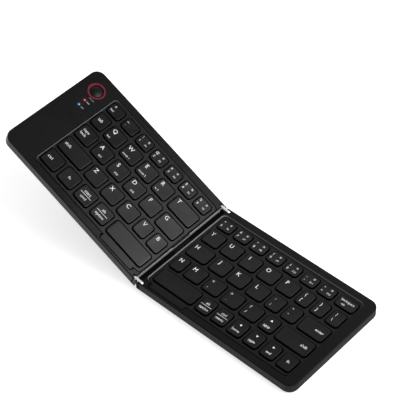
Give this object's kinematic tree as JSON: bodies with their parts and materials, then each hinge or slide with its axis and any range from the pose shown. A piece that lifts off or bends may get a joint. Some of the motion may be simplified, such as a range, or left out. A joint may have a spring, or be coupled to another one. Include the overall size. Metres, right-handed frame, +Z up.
{
  "type": "folding keyboard",
  "caption": "Slim folding keyboard in two halves that close like a book on a double-pivot hinge, with sprung keys, a power button and a charging socket.",
  "frame": {"origin": "centre of the footprint at table height, under the partly opened keyboard", "axes": "+X to the keyboard's right end, +Y to its rear edge, +Z up from the table"},
  "size_m": [0.2788, 0.098, 0.0729],
  "materials": {
    "case_plastic": "fine satin paint over plastic",
    "cover_plastic": "fine satin",
    "key_plastic": "satin",
    "steel": "plated",
    "bright_metal": "polished",
    "ring_metal": "red anodised",
    "silicone": "matt",
    "cell": "foil pouch",
    "board": "solder resist",
    "red_lens": "clear gloss",
    "blue_lens": "clear gloss"
  },
  "bodies": {
    "right_half": {"right_case": "case_plastic", "right_bottom_cover": "cover_plastic", "right_key_deck": "case_plastic", "right_key_plate": "steel", "right_membrane": "silicone", "battery": "cell", "right_feet": "silicone", "right_magnets": "steel", "right_screws": "steel", "right_hinge_pins": "steel"},
    "hinge_link": {"front_link": "bright_metal", "rear_link": "bright_metal", "hinge_spine": "cover_plastic", "ribbon_cable": "board"},
    "left_half": {"left_case": "case_plastic", "left_bottom_cover": "cover_plastic", "left_key_deck": "case_plastic", "left_key_plate": "steel", "left_membrane": "silicone", "control_board": "board", "charging_socket": "steel", "red_light": "red_lens", "blue_light": "blue_lens", "power_ring": "ring_metal", "power_switch": "board", "left_feet": "silicone", "left_magnets": "steel", "left_screws": "steel", "left_hinge_pins": "steel"},
    "power_button": {"power_button": "key_plastic"},
    "esc_key_body": {"esc_key": "key_plastic"},
    "number_keys_1_to_5_body": {"number_keys_1_to_5": "key_plastic"},
    "tab_key_body": {"tab_key": "key_plastic"},
    "letter_keys_q_to_t_body": {"letter_keys_q_to_t": "key_plastic"},
    "caps_lock_key_body": {"caps_lock_key": "key_plastic"},
    "letter_keys_a_to_g_body": {"letter_keys_a_to_g": "key_plastic"},
    "left_shift_key_body": {"left_shift_key": "key_plastic"},
    "letter_keys_z_to_b_body": {"letter_keys_z_to_b": "key_plastic"},
    "left_ctrl_key_body": {"left_ctrl_key": "key_plastic"},
    "left_fn_key_body": {"left_fn_key": "key_plastic"},
    "start_key_body": {"start_key": "key_plastic"},
    "left_alt_key_body": {"left_alt_key": "key_plastic"},
    "left_space_bar_body": {"left_space_bar": "key_plastic"},
    "number_keys_6_to_equals_body": {"number_keys_6_to_equals": "key_plastic"},
    "backspace_key_body": {"backspace_key": "key_plastic"},
    "letter_keys_y_to_p_body": {"letter_keys_y_to_p": "key_plastic"},
    "bracket_keys_body": {"bracket_keys": "key_plastic"},
    "letter_keys_h_to_quote_body": {"letter_keys_h_to_quote": "key_plastic"},
    "enter_key_body": {"enter_key": "key_plastic"},
    "letter_keys_n_to_slash_body": {"letter_keys_n_to_slash": "key_plastic"},
    "up_key_body": {"up_key": "key_plastic"},
    "right_shift_key_body": {"right_shift_key": "key_plastic"},
    "right_space_bar_body": {"right_space_bar": "key_plastic"},
    "right_alt_key_body": {"right_alt_key": "key_plastic"},
    "right_ctrl_key_body": {"right_ctrl_key": "key_plastic"},
    "left_arrow_key_body": {"left_arrow_key": "key_plastic"},
    "down_key_body": {"down_key": "key_plastic"},
    "right_arrow_key_body": {"right_arrow_key": "key_plastic"},
    "right_fn_key_body": {"right_fn_key": "key_plastic"}
  },
  "joints": [
    {"name": "right_hinge", "type": "hinge", "parent": "right_half", "child": "hinge_link", "pos_m": [-0.00349, 0, 0.0055], "axis": [0, 1, 0], "range_deg": [-13.2, 76.8]},
    {"name": "left_hinge", "type": "hinge", "parent": "hinge_link", "child": "left_half", "pos_m": [-0.00953, 0, 0.00692], "axis": [0, 1, 0], "range_deg": [-13.2, 76.8]},
    {"name": "esc_key_press", "type": "slide", "parent": "left_half", "child": "esc_key_body", "axis": [-0.4446, 0, -0.8957], "range_m": [0, 0.0012], "stiffness_N_per_m": 60, "springref_m": -0.002},
    {"name": "number_keys_1_to_5_press", "type": "slide", "parent": "left_half", "child": "number_keys_1_to_5_body", "axis": [-0.4446, 0, -0.8957], "range_m": [0, 0.0012], "stiffness_N_per_m": 60, "springref_m": -0.002},
    {"name": "tab_key_press", "type": "slide", "parent": "left_half", "child": "tab_key_body", "axis": [-0.4446, 0, -0.8957], "range_m": [0, 0.0012], "stiffness_N_per_m": 60, "springref_m": -0.002},
    {"name": "letter_keys_q_to_t_press", "type": "slide", "parent": "left_half", "child": "letter_keys_q_to_t_body", "axis": [-0.4446, 0, -0.8957], "range_m": [0, 0.0012], "stiffness_N_per_m": 60, "springref_m": -0.002},
    {"name": "caps_lock_key_press", "type": "slide", "parent": "left_half", "child": "caps_lock_key_body", "axis": [-0.4446, 0, -0.8957], "range_m": [0, 0.0012], "stiffness_N_per_m": 60, "springref_m": -0.002},
    {"name": "letter_keys_a_to_g_press", "type": "slide", "parent": "left_half", "child": "letter_keys_a_to_g_body", "axis": [-0.4446, 0, -0.8957], "range_m": [0, 0.0012], "stiffness_N_per_m": 60, "springref_m": -0.002},
    {"name": "left_shift_key_press", "type": "slide", "parent": "left_half", "child": "left_shift_key_body", "axis": [-0.4446, 0, -0.8957], "range_m": [0, 0.0012], "stiffness_N_per_m": 60, "springref_m": -0.002},
    {"name": "letter_keys_z_to_b_press", "type": "slide", "parent": "left_half", "child": "letter_keys_z_to_b_body", "axis": [-0.4446, 0, -0.8957], "range_m": [0, 0.0012], "stiffness_N_per_m": 60, "springref_m": -0.002},
    {"name": "left_ctrl_key_press", "type": "slide", "parent": "left_half", "child": "left_ctrl_key_body", "axis": [-0.4446, 0, -0.8957], "range_m": [0, 0.0012], "stiffness_N_per_m": 60, "springref_m": -0.002},
    {"name": "left_fn_key_press", "type": "slide", "parent": "left_half", "child": "left_fn_key_body", "axis": [-0.4446, 0, -0.8957], "range_m": [0, 0.0012], "stiffness_N_per_m": 60, "springref_m": -0.002},
    {"name": "start_key_press", "type": "slide", "parent": "left_half", "child": "start_key_body", "axis": [-0.4446, 0, -0.8957], "range_m": [0, 0.0012], "stiffness_N_per_m": 60, "springref_m": -0.002},
    {"name": "left_alt_key_press", "type": "slide", "parent": "left_half", "child": "left_alt_key_body", "axis": [-0.4446, 0, -0.8957], "range_m": [0, 0.0012], "stiffness_N_per_m": 60, "springref_m": -0.002},
    {"name": "left_space_bar_press", "type": "slide", "parent": "left_half", "child": "left_space_bar_body", "axis": [-0.4446, 0, -0.8957], "range_m": [0, 0.0012], "stiffness_N_per_m": 60, "springref_m": -0.002},
    {"name": "number_keys_6_to_equals_press", "type": "slide", "parent": "right_half", "child": "number_keys_6_to_equals_body", "axis": [0, 0, -1], "range_m": [0, 0.0012], "stiffness_N_per_m": 60, "springref_m": -0.002},
    {"name": "backspace_key_press", "type": "slide", "parent": "right_half", "child": "backspace_key_body", "axis": [0, 0, -1], "range_m": [0, 0.0012], "stiffness_N_per_m": 60, "springref_m": -0.002},
    {"name": "letter_keys_y_to_p_press", "type": "slide", "parent": "right_half", "child": "letter_keys_y_to_p_body", "axis": [0, 0, -1], "range_m": [0, 0.0012], "stiffness_N_per_m": 60, "springref_m": -0.002},
    {"name": "bracket_keys_press", "type": "slide", "parent": "right_half", "child": "bracket_keys_body", "axis": [0, 0, -1], "range_m": [0, 0.0012], "stiffness_N_per_m": 60, "springref_m": -0.002},
    {"name": "letter_keys_h_to_quote_press", "type": "slide", "parent": "right_half", "child": "letter_keys_h_to_quote_body", "axis": [0, 0, -1], "range_m": [0, 0.0012], "stiffness_N_per_m": 60, "springref_m": -0.002},
    {"name": "enter_key_press", "type": "slide", "parent": "right_half", "child": "enter_key_body", "axis": [0, 0, -1], "range_m": [0, 0.0012], "stiffness_N_per_m": 60, "springref_m": -0.002},
    {"name": "letter_keys_n_to_slash_press", "type": "slide", "parent": "right_half", "child": "letter_keys_n_to_slash_body", "axis": [0, 0, -1], "range_m": [0, 0.0012], "stiffness_N_per_m": 60, "springref_m": -0.002},
    {"name": "up_key_press", "type": "slide", "parent": "right_half", "child": "up_key_body", "axis": [0, 0, -1], "range_m": [0, 0.0012], "stiffness_N_per_m": 60, "springref_m": -0.002},
    {"name": "right_shift_key_press", "type": "slide", "parent": "right_half", "child": "right_shift_key_body", "axis": [0, 0, -1], "range_m": [0, 0.0012], "stiffness_N_per_m": 60, "springref_m": -0.002},
    {"name": "right_space_bar_press", "type": "slide", "parent": "right_half", "child": "right_space_bar_body", "axis": [0, 0, -1], "range_m": [0, 0.0012], "stiffness_N_per_m": 60, "springref_m": -0.002},
    {"name": "right_alt_key_press", "type": "slide", "parent": "right_half", "child": "right_alt_key_body", "axis": [0, 0, -1], "range_m": [0, 0.0012], "stiffness_N_per_m": 60, "springref_m": -0.002},
    {"name": "right_ctrl_key_press", "type": "slide", "parent": "right_half", "child": "right_ctrl_key_body", "axis": [0, 0, -1], "range_m": [0, 0.0012], "stiffness_N_per_m": 60, "springref_m": -0.002},
    {"name": "left_arrow_key_press", "type": "slide", "parent": "right_half", "child": "left_arrow_key_body", "axis": [0, 0, -1], "range_m": [0, 0.0012], "stiffness_N_per_m": 60, "springref_m": -0.002},
    {"name": "down_key_press", "type": "slide", "parent": "right_half", "child": "down_key_body", "axis": [0, 0, -1], "range_m": [0, 0.0012], "stiffness_N_per_m": 60, "springref_m": -0.002},
    {"name": "right_arrow_key_press", "type": "slide", "parent": "right_half", "child": "right_arrow_key_body", "axis": [0, 0, -1], "range_m": [0, 0.0012], "stiffness_N_per_m": 60, "springref_m": -0.002},
    {"name": "right_fn_key_press", "type": "slide", "parent": "right_half", "child": "right_fn_key_body", "axis": [0, 0, -1], "range_m": [0, 0.0012], "stiffness_N_per_m": 60, "springref_m": -0.002},
    {"name": "power_button_press", "type": "slide", "parent": "left_half", "child": "power_button", "axis": [-0.4446, 0, -0.8957], "range_m": [0, 0.0004], "stiffness_N_per_m": 150, "springref_m": -0.001}
  ],
  "couplings": [
    {"joint": "left_hinge", "follows": "right_hinge", "ratio": 1}
  ]
}
